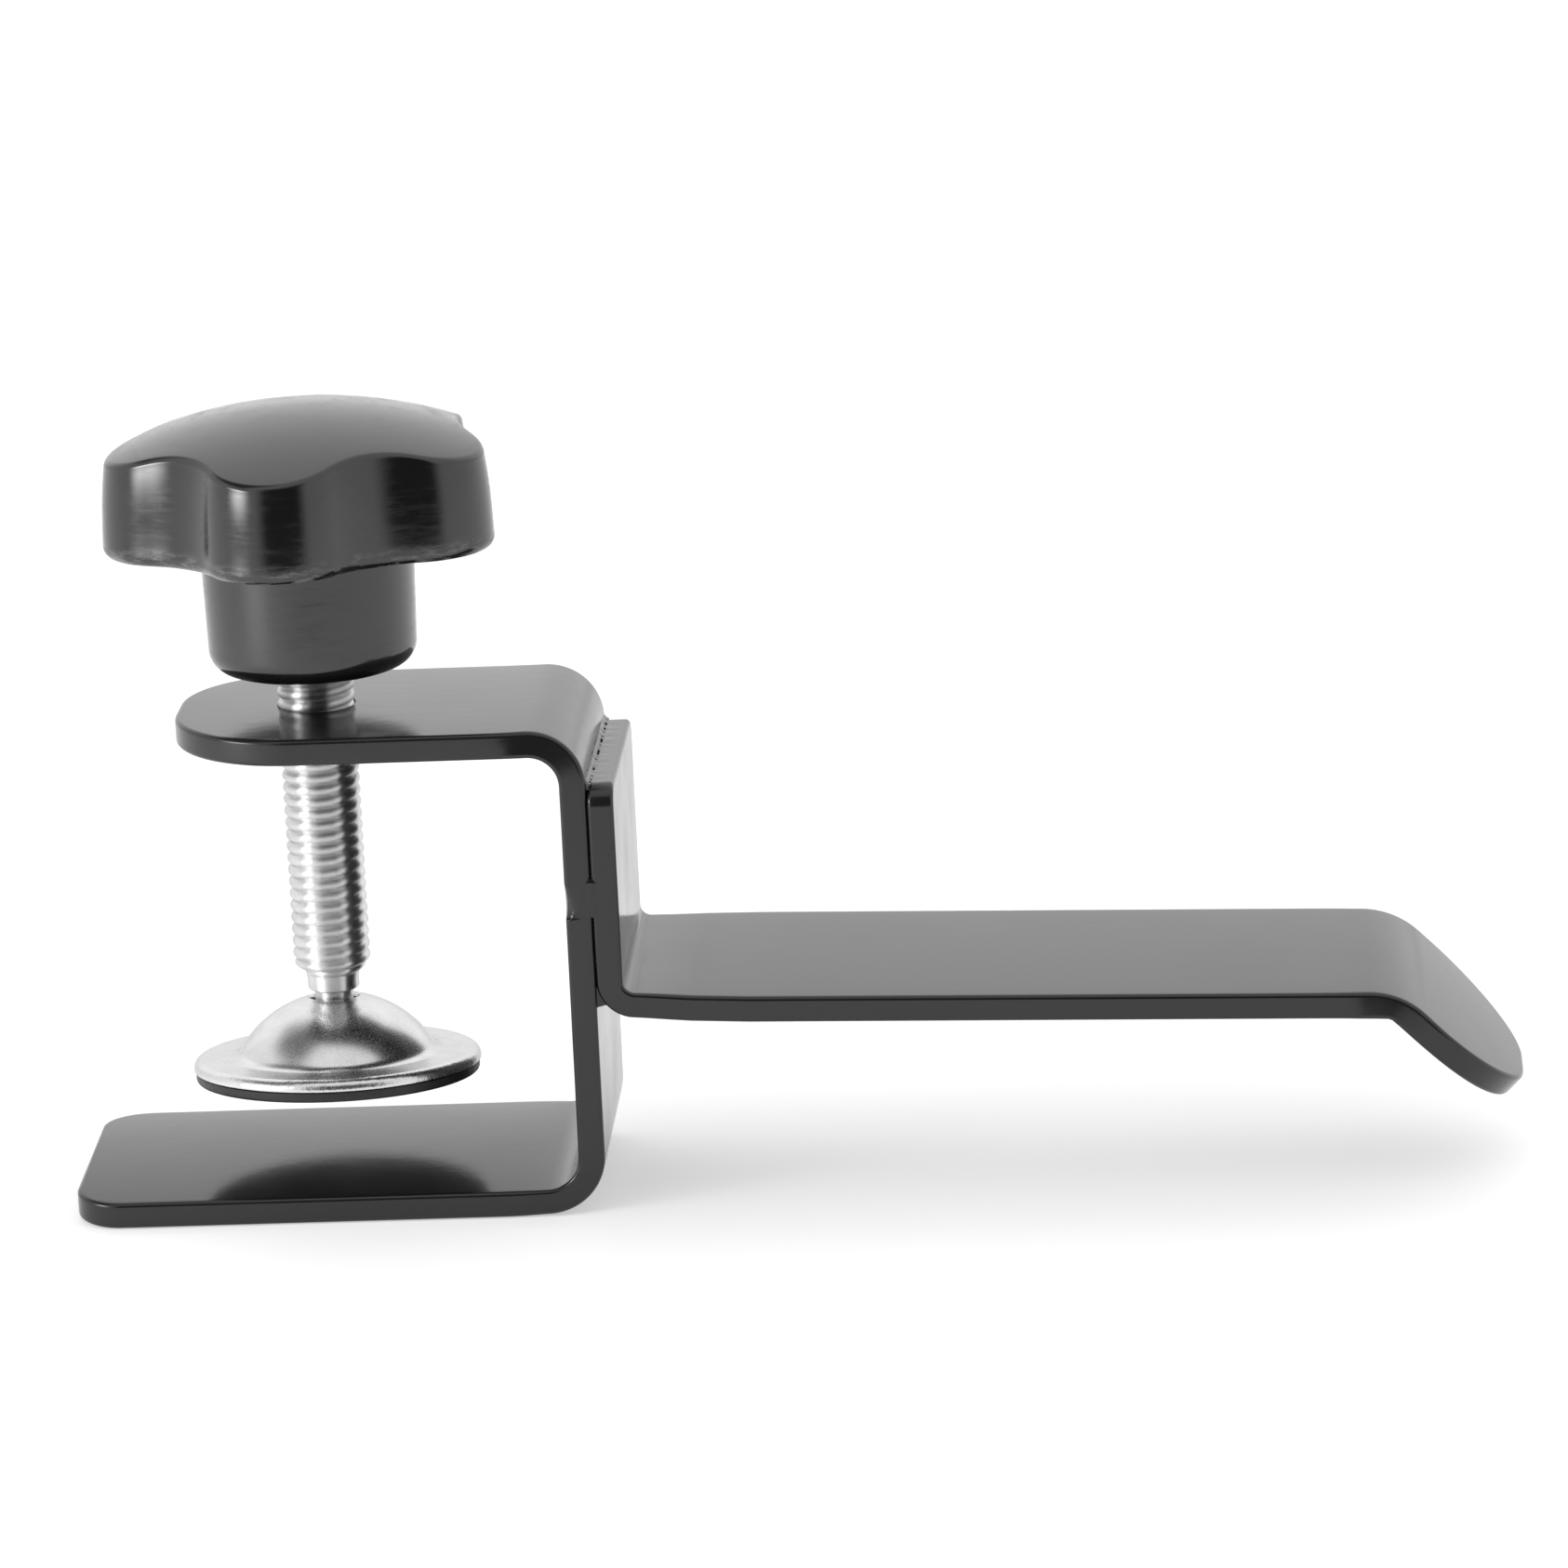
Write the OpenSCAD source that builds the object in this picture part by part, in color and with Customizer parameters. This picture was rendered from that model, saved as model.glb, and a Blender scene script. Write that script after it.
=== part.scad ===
// Clamp-on headphone hook: a bent flat-bar clamp, a welded hook arm, a star-knob screw and a swivel foot.
// Millimetres. The origin is on the lower jaw's inner face, under the screw's axis.
// +Z runs up the screw towards the knob and +X runs from the spine to the hook's tip.

/* [Flat bar] */
// Width of the bar that both bent parts are cut from
strip_w = 30; // [24:0.5:40]
// Thickness of the bar with its coating
strip_t = 2.7; // [2:0.1:4]
// Inside radius of the clamp's two bends
bend_r = 3.2; // [2:0.1:5]

/* [Clamp] */
// Clear height between the jaws
jaw_gap = 45; // [38:0.5:70]
// Distance from the screw's axis to the spine
throat = 25.5; // [21:0.5:45]
// Distance from the screw's axis to the lower jaw's end
lower_reach = 26.4; // [18:0.2:40]
// Distance from the screw's axis to the upper jaw's end
upper_reach = 14.2; // [10:0.2:24]
// Radius of the lower jaw's corners
lower_corner_r = 5; // [1:0.5:12]
// Radius of the upper jaw's corners
upper_corner_r = 12.9; // [4:0.1:20]

/* [Hook] */
// Distance from the upper jaw's inner face down to the leg's top edge
leg_drop = 3.2; // [3.2:0.1:10]
// Height of the arm's top face above the lower jaw, where it meets the leg
arm_z = 20.3; // [14:0.1:30]
// Straight length of the arm, from the leg to the tip's bend
arm_len = 74.9; // [40:0.1:120]
// Fall of the arm towards its tip, in degrees
arm_fall = 1.5; // [0.5:0.1:5]
// Inside radius of the bend between the leg and the arm
elbow_r = 1.2; // [0.5:0.1:3]
// Inside radius of the tip's bend
tip_bend_r = 6; // [3:0.1:12]
// Angle that the tip turns down by
tip_angle = 43.5; // [20:0.5:70]
// Straight length of the tip past its bend
tip_len = 14.3; // [8:0.1:30]
// Radius of the tip's corners
tip_corner_r = 12.8; // [3:0.1:20]

/* [Welds] */
// Leg of the fillet bead on the hook's top edge
bead_size = 1.4; // [0.8:0.1:2.4]
// Gap between a bead and the round of the bend that it lies against
bead_gap = 0.05; // [0.03:0.01:0.1]
// Length that each end of a bead stays short of the bar's edge
bead_inset = 1; // [0.5:0.1:4]
// Radius of a tack weld across the seam
tack_r = 2.4; // [1.5:0.1:2.6]
// Height that a tack weld stands proud of the bar's edge
tack_proud = 0.35; // [0.2:0.05:0.6]
// Height of the tack welds above the arm's top face
tack_rise = 10; // [6:0.5:14]

/* [Screw] */
// Outside diameter of the thread
screw_d = 7.9; // [5.9:0.1:9.9]
// Radial play of the thread in the tapped hole
thread_play = 0.05; // [0.02:0.01:0.1]
// Length of the taper at the thread's lower end
taper_h = 1.8; // [1:0.1:3]
// Diameter of the collar that presses on the cup
collar_d = 5.3; // [4.6:0.1:5.6]
// Length of the collar
collar_h = 1; // [0.5:0.1:3]
// Diameter of the neck through the cup
neck_d = 4; // [3:0.1:4.2]
// Length of bare neck above the cup
neck_show = 0.9; // [0.6:0.1:2]
// Diameter of the peened end
peen_d = 6.6; // [5.5:0.1:8]
// Thickness of the peened end
peen_h = 1.2; // [0.8:0.1:1.6]
// Width of the screw's hexagon head across its flats
head_af = 13; // [10:0.5:15]
// Height of the head
head_h = 5.3; // [3:0.1:7]

/* [Knob] */
// Gap between the knob's hub and the upper jaw
hub_gap = 4; // [2:0.1:20]
// Diameter of the hub at its lower end
hub_d = 21.2; // [18:0.1:26]
// Height of the hub below the lobes
hub_h = 12.9; // [8:0.1:20]
// Growth of the hub's radius over its height
hub_draft = 0.25; // [0.05:0.05:1]
// Radius of the hub's lower edge
hub_edge_r = 2.4; // [0.5:0.1:4]
// Radius from the axis to the tip of a lobe, at the rim
knob_r = 20; // [18:0.5:24]
// Radius of a lobe's tip
lobe_r = 5.5; // [4.5:0.1:6.5]
// Depth of a valley below the lobes' tips
valley_depth = 4; // [3.6:0.1:5]
// Growth of the lobes' radius from the rim to the underside
knob_draft = 0.6; // [0.1:0.05:1.2]
// Bevel round the lobes' lower edge
lobe_bevel = 0.8; // [0.2:0.1:2]
// Height of the knob from its underside to the middle of its crown
knob_h = 14.2; // [10:0.1:20]
// Radius of the crowned top
crown_r = 48; // [35:1:90]
// Direction of the first lobe, in degrees from +X
knob_turn = -95; // [-180:1:180]
// Gap round the screw's head inside the moulding
mould_gap = 0.05; // [0.02:0.01:0.1]

/* [Swivel foot] */
// Gap between the lower jaw and the middle of the grip pad
pad_gap = 8.6; // [5:0.1:16]
// Tilt that the loose foot hangs at, in degrees about X
foot_tilt = -4.5; // [-6:0.5:6]
// Thickness of the grip pad
pad_t = 1.3; // [0.8:0.1:2.5]
// Diameter of the cup's flange
flange_d = 29.6; // [26:0.1:34]
// Distance that the grip pad's edge stays inside the flange's
pad_inset = 0.2; // [0:0.1:1]
// Thickness of the cup's sheet
cup_t = 1; // [0.6:0.1:1.2]
// Outside radius of the dome
dome_r = 11.8; // [11:0.1:13]
// Height of the dome's crown above the pad's lower face
dome_h = 8.5; // [8:0.1:10]
// Radius of the fillet between the dome and the flange
flare_r = 1.5; // [0.5:0.1:2.5]
// Diameter of the hole in the dome
cup_hole_d = 5; // [4.6:0.1:5.2]
// Diameter of the retaining washer
washer_d = 10; // [8:0.1:11]
// Thickness of the retaining washer
washer_t = 1; // [0.6:0.1:1.2]
// Radial play of the washer on the neck
washer_play = 0.08; // [0.02:0.01:0.1]
// Drop of the washer below the middle of the cup's hole
washer_drop = 2.5; // [2.4:0.1:3]

/* [Hidden] */
$fn = 96;
// Overlap of a cutter past the face that it cuts
eps = 1;
// Bite of a rounding past its tangent, so that it meets the face beside it in a clean line
blend = 0.002;

leg_x = throat + strip_t;
leg_face = leg_x + strip_t;
leg_top = jaw_gap - leg_drop;
// Height of the elbow's centre, and the sharp corner and end of the tip's top face
elbow_z = arm_z + elbow_r * (1 - sin(arm_fall)) / cos(arm_fall);
tip_set = (tip_bend_r + strip_t) * tan(tip_angle / 2);
tip_corner = [leg_face, arm_z] + polar(arm_len + tip_set, -arm_fall);
tip_end = tip_corner + polar(tip_set + tip_len, -arm_fall - tip_angle);
lower_r = min(lower_corner_r, strip_w / 2 - 0.05);
upper_r = min(upper_corner_r, strip_w / 2 - 0.05);
tip_r = min(tip_corner_r, strip_w / 2 - 0.05, tip_len - 0.1);

dome_c = dome_h - dome_r;
cup_top = pad_t + cup_t;
hole_r = cup_hole_d / 2;
pivot_h = dome_c + sqrt(pow(dome_r - cup_t / 2, 2) - pow(hole_r, 2));
crown_rise = dome_c + sqrt(pow(dome_r, 2) - pow(hole_r, 2)) - pivot_h;
pivot_z = pad_gap + pivot_h * cos(foot_tilt);

collar_z = pivot_z + crown_rise + neck_show;
taper_z = collar_z + collar_h;
thread_z = taper_z + taper_h;
washer_z = pivot_z - washer_drop - washer_t;
hub_z = jaw_gap + strip_t + hub_gap;
lobe_z = hub_z + hub_h;
head_z = lobe_z - head_h / 2;
crown_z = lobe_z + knob_h;

lobe_count = 5;
lobe_steps = 12;
valley_steps = 8;
half_pitch = 180 / lobe_count;
lobe_c = knob_r - lobe_r;
valley_r = knob_r - valley_depth;
valley_cr = (pow(lobe_c, 2) + pow(valley_r, 2) - pow(lobe_r, 2) - 2 * lobe_c * valley_r * cos(half_pitch))
    / (2 * (lobe_c * cos(half_pitch) + lobe_r - valley_r));
valley_c = valley_r + valley_cr;

// Point at a radius and an angle
function polar(r, a) = [r * cos(a), r * sin(a)];

// Unit vector from one point to the next, and the side of it that the bar lies on
function along(a, b) = (b - a) / norm(b - a);
function right_of(d) = [d[1], -d[0]];

// Outline of one bend: the corner of the bar's face path at p, between directions d1 and d2
module bend_fill(p, d1, d2, r) {
    b = bend_frame(p, d1, d2, r);
    difference() {
        polygon([b[0] + r * b[1], b[0] + (r + strip_t / 2) * b[1], b[0] + (r / b[3] + strip_t / 2) * b[4],
            b[0] + (r + strip_t / 2) * b[2], b[0] + r * b[2]]);
        translate(b[0])
            circle(r + blend);
    }
}
module bend_trim(p, d1, d2, r) {
    b = bend_frame(p, d1, d2, r);
    reach = 2 * (r + strip_t);
    difference() {
        polygon([b[0], b[0] + reach * b[1], b[0] + reach * b[4] / b[3], b[0] + reach * b[2]]);
        translate(b[0])
            circle(r + strip_t + blend);
    }
}

// Centre of a bend, unit vectors to its ends anticlockwise, cosine of half its turn, and the vector to its middle
function bend_frame(p, d1, d2, r) = let (
    left = d1[0] * d2[1] - d1[1] * d2[0] > 0,
    half = cos(acos(d1 * d2) / 2),
    out1 = left ? right_of(d1) : -right_of(d1),
    out2 = left ? right_of(d2) : -right_of(d2),
    middle = (out1 + out2) / norm(out1 + out2),
    centre = left ? p - middle * r / half : p - middle * (r + strip_t) / half
) [centre, left ? out1 : out2, left ? out2 : out1, half, middle];

// Side profile of a bar bent along a path of points on its face, the bar lying to the right of the path
module bent_bar(path, radii) {
    last = len(path) - 2;
    dirs = [for (i = [0 : last]) along(path[i], path[i + 1])];
    // Length past each corner that carries a leg to the outside of its bend
    over = [for (i = [0 : last - 1])
        let (turn = dirs[i][0] * dirs[i + 1][1] - dirs[i][1] * dirs[i + 1][0])
            turn > 0 ? strip_t * tan(acos(dirs[i] * dirs[i + 1]) / 2) : 0];
    difference() {
        union() {
            for (i = [0 : last])
                let (
                    side = strip_t * right_of(dirs[i]),
                    from = path[i] - (i > 0 ? over[i - 1] : 0) * dirs[i],
                    to = path[i + 1] + (i < last ? over[i] : 0) * dirs[i]
                )
                    polygon([from + side, to + side, to, from]);
            for (i = [0 : last - 1])
                bend_fill(path[i + 1], dirs[i], dirs[i + 1], radii[i]);
        }
        for (i = [0 : last - 1])
            bend_trim(path[i + 1], dirs[i], dirs[i + 1], radii[i]);
    }
}

// Side profile drawn in X and Z, made as wide as the bar
module across(width = strip_w) {
    rotate([90, 0, 0])
        linear_extrude(width, center = true)
            children();
}

// Cutter for the two corners of a bar that ends at x = 0 and lies from z = 0 up
module corner_cutter(r) {
    for (side = [0, 1])
        mirror([0, side, 0])
            translate([-r, strip_w / 2 - r, -eps])
                linear_extrude(strip_t + 2 * eps)
                    difference() {
                        square(r + eps);
                        circle(r);
                    }
}

module clamp_bracket() {
    color([0.07, 0.07, 0.07])
        difference() {
            across()
                bent_bar([[-lower_reach, 0], [throat, 0], [throat, jaw_gap], [-upper_reach, jaw_gap]],
                    [bend_r, bend_r]);
            translate([-lower_reach, 0, -strip_t])
                mirror([1, 0, 0])
                    corner_cutter(lower_r);
            translate([-upper_reach, 0, jaw_gap])
                mirror([1, 0, 0])
                    corner_cutter(upper_r);
            translate([0, 0, jaw_gap - eps])
                cylinder(d = screw_d + 2 * thread_play, h = strip_t + 2 * eps);
        }
}

module hook_arm() {
    color([0.07, 0.07, 0.07])
        difference() {
            across()
                bent_bar([[leg_face, leg_top], [leg_face, arm_z], tip_corner, tip_end], [elbow_r, tip_bend_r]);
            translate([tip_end[0], 0, tip_end[1]])
                rotate([0, arm_fall + tip_angle, 0])
                    translate([0, 0, -strip_t])
                        corner_cutter(tip_r);
        }
}

// Fillet bead on the leg's top edge, hollow faced, against the spine
module top_weld() {
    color([0.09, 0.09, 0.09])
        across(strip_w - 2 * bead_inset)
            translate([leg_x, leg_top])
                polygon([[0, 0], [bead_size, 0], [bead_size * 0.75, bead_size * 0.4],
                    [bead_size * 0.4, bead_size * 0.75], [0, bead_size]]);
}

// Bead that fills the notch between the spine and the hook's outer bend
module bottom_weld() {
    bend_outer = elbow_r + strip_t;
    color([0.09, 0.09, 0.09])
        across(strip_w - 2 * bead_inset)
            translate([leg_x, elbow_z])
                difference() {
                    translate([0, -bend_outer])
                        square([bead_size, bend_outer]);
                    translate([bend_outer, 0])
                        circle(bend_outer + bead_gap);
                }
}

// Shallow caps across the seam, one on each edge of the bar
module side_tacks() {
    ball = (pow(tack_r, 2) + pow(tack_proud, 2)) / (2 * tack_proud);
    color([0.09, 0.09, 0.09])
        for (side = [-1, 1])
            translate([leg_x, side * strip_w / 2, arm_z + tack_rise])
                rotate([-90 * side, 0, 0])
                    rotate_extrude()
                        intersection() {
                            translate([0, tack_proud - ball])
                                circle(ball, $fn = 720);
                            square([tack_r + eps, tack_proud + eps]);
                        }
}

module clamp_screw() {
    peen_z = washer_z - peen_h;
    color([0.8, 0.81, 0.82]) {
        rotate_extrude()
            polygon([[0, peen_z], [peen_d / 2 - peen_h / 2, peen_z], [peen_d / 2, peen_z + peen_h / 2],
                [peen_d / 2, washer_z], [neck_d / 2, washer_z], [neck_d / 2, collar_z],
                [collar_d / 2, collar_z], [collar_d / 2, taper_z], [screw_d / 2, thread_z],
                [screw_d / 2, head_z], [0, head_z]]);
        translate([0, 0, head_z])
            cylinder(d = head_af / cos(30), h = head_h, $fn = 6);
    }
}

// Outline of the rim: each lobe's tip as an arc, then the hollow arc of the valley that it runs into
function lobe_outline() = let (
    toward = polar(valley_c, half_pitch) - [lobe_c, 0],
    sweep = atan2(toward[1], toward[0]),
    dip = sweep - half_pitch
) [for (i = [0 : lobe_count - 1])
    for (k = [0 : lobe_steps + valley_steps - 1])
        k < lobe_steps
            ? polar(lobe_c, 2 * i * half_pitch)
                + polar(lobe_r, 2 * i * half_pitch + sweep * (2 * k / lobe_steps - 1))
            : polar(valley_c, (2 * i + 1) * half_pitch)
                - polar(valley_cr, (2 * i + 1) * half_pitch + dip * (1 - 2 * (k - lobe_steps) / valley_steps))];

// The rim's outline drawn up from one size to another
module lobe_taper(h, from, to) {
    linear_extrude(h, scale = to / from)
        scale(from / knob_r)
            polygon(lobe_outline());
}

// Five lobes with draft, from a bevelled lower edge up
module lobes(h) {
    bevel_from = knob_r + knob_draft - lobe_bevel;
    intersection() {
        lobe_taper(h, knob_r + knob_draft, knob_r);
        lobe_taper(h, bevel_from, bevel_from + h);
    }
}

// Hub with a rounded lower edge
module hub() {
    edge_c = hub_d / 2 - hub_edge_r;
    rotate_extrude() {
        square([edge_c, hub_edge_r]);
        translate([edge_c, hub_edge_r])
            intersection() {
                circle(hub_edge_r);
                translate([0, -hub_edge_r])
                    square(hub_edge_r);
            }
        polygon([[0, hub_edge_r], [hub_d / 2, hub_edge_r], [hub_d / 2 + hub_draft, hub_h], [0, hub_h]]);
    }
}

module star_knob() {
    color([0.05, 0.05, 0.05])
        difference() {
            union() {
                translate([0, 0, hub_z])
                    hub();
                intersection() {
                    translate([0, 0, lobe_z])
                        rotate(knob_turn)
                            lobes(knob_h);
                    translate([0, 0, crown_z - crown_r])
                        sphere(crown_r);
                }
            }
            translate([0, 0, hub_z - eps])
                cylinder(d = screw_d + 2 * mould_gap, h = head_z - hub_z + eps);
            translate([0, 0, head_z - mould_gap])
                cylinder(d = (head_af + 2 * mould_gap) / cos(30), h = head_h + 2 * mould_gap, $fn = 6);
        }
}

module retaining_washer() {
    color([0.75, 0.76, 0.77])
        translate([0, 0, washer_z])
            difference() {
                cylinder(d = washer_d, h = washer_t);
                translate([0, 0, -eps])
                    cylinder(d = neck_d + 2 * washer_play, h = washer_t + 2 * eps);
            }
}

// The foot's own frame: origin at the middle of the pad's lower face, hung from the cup's hole
module foot_frame() {
    translate([0, 0, pivot_z])
        rotate([foot_tilt, 0, 0])
            translate([0, 0, -pivot_h])
                children();
}

// Half section of the pressed cup: dome, flare and flange with a round rim
module cup_section() {
    flare_z = cup_top + flare_r;
    flare_x = sqrt(pow(dome_r + flare_r, 2) - pow(flare_z - dome_c, 2));
    share = dome_r / (dome_r + flare_r);
    dome_foot = sqrt(pow(dome_r, 2) - pow(cup_top - dome_c, 2));
    difference() {
        union() {
            intersection() {
                translate([0, dome_c])
                    circle(dome_r);
                translate([hole_r, pad_t])
                    square([dome_r, dome_r]);
            }
            difference() {
                polygon([[dome_foot - cup_t / 2, cup_top - cup_t / 2], [flare_x, cup_top - cup_t / 2],
                    [flare_x, cup_top], [flare_x * share, dome_c + (flare_z - dome_c) * share]]);
                translate([flare_x, flare_z])
                    circle(flare_r + blend);
            }
            translate([hole_r, pad_t])
                square([flange_d / 2 - cup_t / 2 - hole_r, cup_t]);
            translate([flange_d / 2 - cup_t / 2, pad_t + cup_t / 2])
                circle(cup_t / 2);
        }
        translate([0, dome_c])
            circle(dome_r - cup_t);
    }
}

module swivel_cup() {
    color([0.8, 0.81, 0.82])
        foot_frame()
            rotate_extrude()
                cup_section();
}

module grip_pad() {
    color([0.06, 0.06, 0.06])
        foot_frame()
            cylinder(d = flange_d - 2 * pad_inset, h = pad_t);
}

clamp_bracket();
hook_arm();
top_weld();
bottom_weld();
side_tacks();
clamp_screw();
star_knob();
retaining_washer();
swivel_cup();
grip_pad();
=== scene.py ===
import bmesh
import bpy
import math
from mathutils import Matrix, Vector, noise


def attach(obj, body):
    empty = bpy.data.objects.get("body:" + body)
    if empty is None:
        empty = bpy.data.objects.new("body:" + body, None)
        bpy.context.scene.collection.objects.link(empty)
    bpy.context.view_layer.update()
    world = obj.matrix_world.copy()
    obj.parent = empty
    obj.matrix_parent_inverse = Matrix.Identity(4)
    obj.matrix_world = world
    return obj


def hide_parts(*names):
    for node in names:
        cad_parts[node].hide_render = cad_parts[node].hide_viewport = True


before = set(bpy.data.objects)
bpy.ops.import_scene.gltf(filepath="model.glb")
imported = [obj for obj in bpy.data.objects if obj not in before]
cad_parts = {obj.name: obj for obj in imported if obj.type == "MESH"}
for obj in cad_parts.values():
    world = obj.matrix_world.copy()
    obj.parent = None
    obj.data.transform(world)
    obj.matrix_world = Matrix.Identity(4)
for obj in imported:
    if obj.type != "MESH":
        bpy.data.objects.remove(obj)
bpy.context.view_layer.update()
print("frame loaded with", len(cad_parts), "nodes")

mm = 0.001  # pieces are drawn in millimetres, finishes and lamps in metres


def newFinish(name):
    finish = bpy.data.materials.new(name)
    finish.use_nodes = True
    return finish, finish.node_tree, finish.node_tree.nodes["Principled BSDF"]


def pieceCoords(tree):
    return tree.nodes.new("ShaderNodeTexCoord").outputs["Object"]


def splitAxes(tree, vector):
    split = tree.nodes.new("ShaderNodeSeparateXYZ")
    tree.links.new(vector, split.inputs["Vector"])
    return split.outputs


def grainNode(tree, scale, detail, roughness=0.5, stretch=(1, 1, 1)):
    mapping = tree.nodes.new("ShaderNodeMapping")
    mapping.inputs["Scale"].default_value = stretch
    grain = tree.nodes.new("ShaderNodeTexNoise")
    grain.inputs["Scale"].default_value = scale
    grain.inputs["Detail"].default_value = detail
    grain.inputs["Roughness"].default_value = roughness
    tree.links.new(pieceCoords(tree), mapping.inputs["Vector"])
    tree.links.new(mapping.outputs["Vector"], grain.inputs["Vector"])
    return grain.outputs["Fac"]


def remapNode(tree, source, lowIn, highIn, lowOut, highOut, smooth=False):
    remap = tree.nodes.new("ShaderNodeMapRange")
    remap.interpolation_type = "SMOOTHSTEP" if smooth else "LINEAR"
    sockets = ("From Min", "From Max", "To Min", "To Max")
    for socket, value in zip(sockets, (lowIn, highIn, lowOut, highOut)):
        remap.inputs[socket].default_value = value
    tree.links.new(source, remap.inputs["Value"])
    return remap.outputs["Result"]


def mathNode(tree, operation, first, second=0):
    step = tree.nodes.new("ShaderNodeMath")
    step.operation = operation
    for socket, value in zip(step.inputs, (first, second)):
        if isinstance(value, (int, float)):
            socket.default_value = value
        else:
            tree.links.new(value, socket)
    return step.outputs[0]


def mixColour(tree, factor, first, second):
    mix = tree.nodes.new("ShaderNodeMix")
    mix.data_type = "RGBA"
    tree.links.new(factor, mix.inputs["Factor"])
    mix.inputs["A"].default_value = (*first, 1)
    mix.inputs["B"].default_value = (*second, 1)
    return mix.outputs["Result"]


def bumpChain(tree, layers):
    normal = None
    for height, strength, distance in layers:
        bump = tree.nodes.new("ShaderNodeBump")
        bump.inputs["Strength"].default_value = strength
        bump.inputs["Distance"].default_value = distance
        tree.links.new(height, bump.inputs["Height"])
        if normal:
            tree.links.new(normal, bump.inputs["Normal"])
        normal = bump.outputs["Normal"]
    return normal


coatLook = {
    "dark": (0.011, 0.011, 0.0115), "light": (0.018, 0.018, 0.0185), "cloud": 90,
    "rough": (0.13, 0.2), "ior": 1.52,
    "peel": 1500, "peelStrength": 0.09, "peelDepth": 0.00005,
    "fine": 4200, "fineStrength": 0.05, "fineDepth": 0.00002,
    "wave": 380, "waveStretch": (0.5, 1.5, 1), "waveStrength": 0.4, "waveDepth": 0.00002,
    "nib": 130, "nibSize": 0.035, "nibStrength": 0.25, "nibDepth": 0.00005,  # dust under the coat
}
beadCoatLook = {**coatLook, "peelStrength": 0.3}
topBeadCoatLook = {
    **beadCoatLook,
    # pinholes along the bead's foot, darkened with painted shade
    "holeShade": 430, "holeShare": (0.5, 0.56), "holeDull": 0.7,
    "holeRow": 0.02858, "holeHalf": (0.00008, 0.00014),  # the row's place in X, and half its width
}
hookCoatLook = {
    **coatLook, "waveStrength": 0.08,
    "ripple": 620, "rippleStretch": (0.12, 1, 0.12), "rippleStrength": 0.3, "rippleDepth": 0.0003,
    "rippleFrom": 0.0415, "rippleRise": 0.0002,  # only on the leg's top edge
    "rippleEnd": (0.0291, 0.0304),  # where they die out, in X
}


def blackCoatFinish(name, look):
    finish, tree, shader = newFinish(name)
    cloud = grainNode(tree, look["cloud"], 4)
    nib = tree.nodes.new("ShaderNodeTexVoronoi")
    nib.inputs["Scale"].default_value = look["nib"]
    tree.links.new(pieceCoords(tree), nib.inputs["Vector"])
    nibHeight = remapNode(tree, nib.outputs["Distance"], 0, look["nibSize"], 1, 0, True)
    peel = grainNode(tree, look["peel"], 2, 0.4)
    fine = grainNode(tree, look["fine"], 2)
    wave = grainNode(tree, look["wave"], 3, 0.5, look["waveStretch"])
    layers = [
        (peel, look["peelStrength"], look["peelDepth"]),
        (fine, look["fineStrength"], look["fineDepth"]),
        (wave, look["waveStrength"], look["waveDepth"]),
        (nibHeight, look["nibStrength"], look["nibDepth"]),
    ]
    dullness = remapNode(tree, cloud, 0.3, 0.7, *look["rough"])
    if "ripple" in look:  # ripples that the weld's heat left on the top edge of the leg
        ripple = grainNode(tree, look["ripple"], 2, 0.5, look["rippleStretch"])
        place = splitAxes(tree, pieceCoords(tree))
        low, high = look["rippleFrom"], look["rippleFrom"] + look["rippleRise"]
        onTop = remapNode(tree, place["Z"], low, high, 0, 1)
        nearWeld = remapNode(tree, place["X"], *look["rippleEnd"], 1, 0, True)
        ripple = mathNode(tree, "MULTIPLY", ripple, mathNode(tree, "MULTIPLY", onTop, nearWeld))
        layers.append((ripple, look["rippleStrength"], look["rippleDepth"]))
    if "holeShade" in look:  # gas holes in a row along the bead's foot, with no geometry: dull, with painted shade where their reflection is turned down
        holeShade = grainNode(tree, look["holeShade"], 2, 0.6, (0, 1, 0))
        holeShade = remapNode(tree, holeShade, *look["holeShare"], 0, 1, True)
        place = splitAxes(tree, pieceCoords(tree))
        beside = mathNode(tree, "ABSOLUTE", mathNode(tree, "SUBTRACT", place["X"], look["holeRow"]))
        inRow = remapNode(tree, beside, *look["holeHalf"], 1, 0, True)
        holeShade = mathNode(tree, "MULTIPLY", holeShade, inRow)
        # painted shade: the specular level drops to nothing in the holes, standing in for the shade
        # inside them
        holeShadeShine = remapNode(tree, holeShade, 0, 1, 0.5, 0)
        tree.links.new(holeShadeShine, shader.inputs["Specular IOR Level"])
        holeDull = mathNode(tree, "MULTIPLY", holeShade, look["holeDull"])
        dullness = mathNode(tree, "ADD", dullness, holeDull)
    colour = mixColour(tree, cloud, look["dark"], look["light"])
    tree.links.new(colour, shader.inputs["Base Color"])
    tree.links.new(dullness, shader.inputs["Roughness"])
    shader.inputs["IOR"].default_value = look["ior"]
    tree.links.new(bumpChain(tree, layers), shader.inputs["Normal"])
    return finish


mouldLook = {
    "dark": (0.009, 0.009, 0.0095), "scuffed": (0.2, 0.2, 0.2), "rough": (0.13, 0.27), "ior": 1.68,
    "cloud": 120, "cloudStrength": 0.03, "cloudDepth": 0.0002,
    "drag": 260, "dragStretch": (1, 1, 7), "dragStrength": 0.03, "dragDepth": 0.00005,
    "chips": 420, "chipStretch": (1, 1, 3.5), "chipStrength": 0.3, "chipDepth": 0.00006,
    "chipShare": (0.45, 0.66), "chipDull": 0.3,
    "lowRim": 0.0646, "rimHeight": 0.0026, "rimFade": 0.0004,
}


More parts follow.
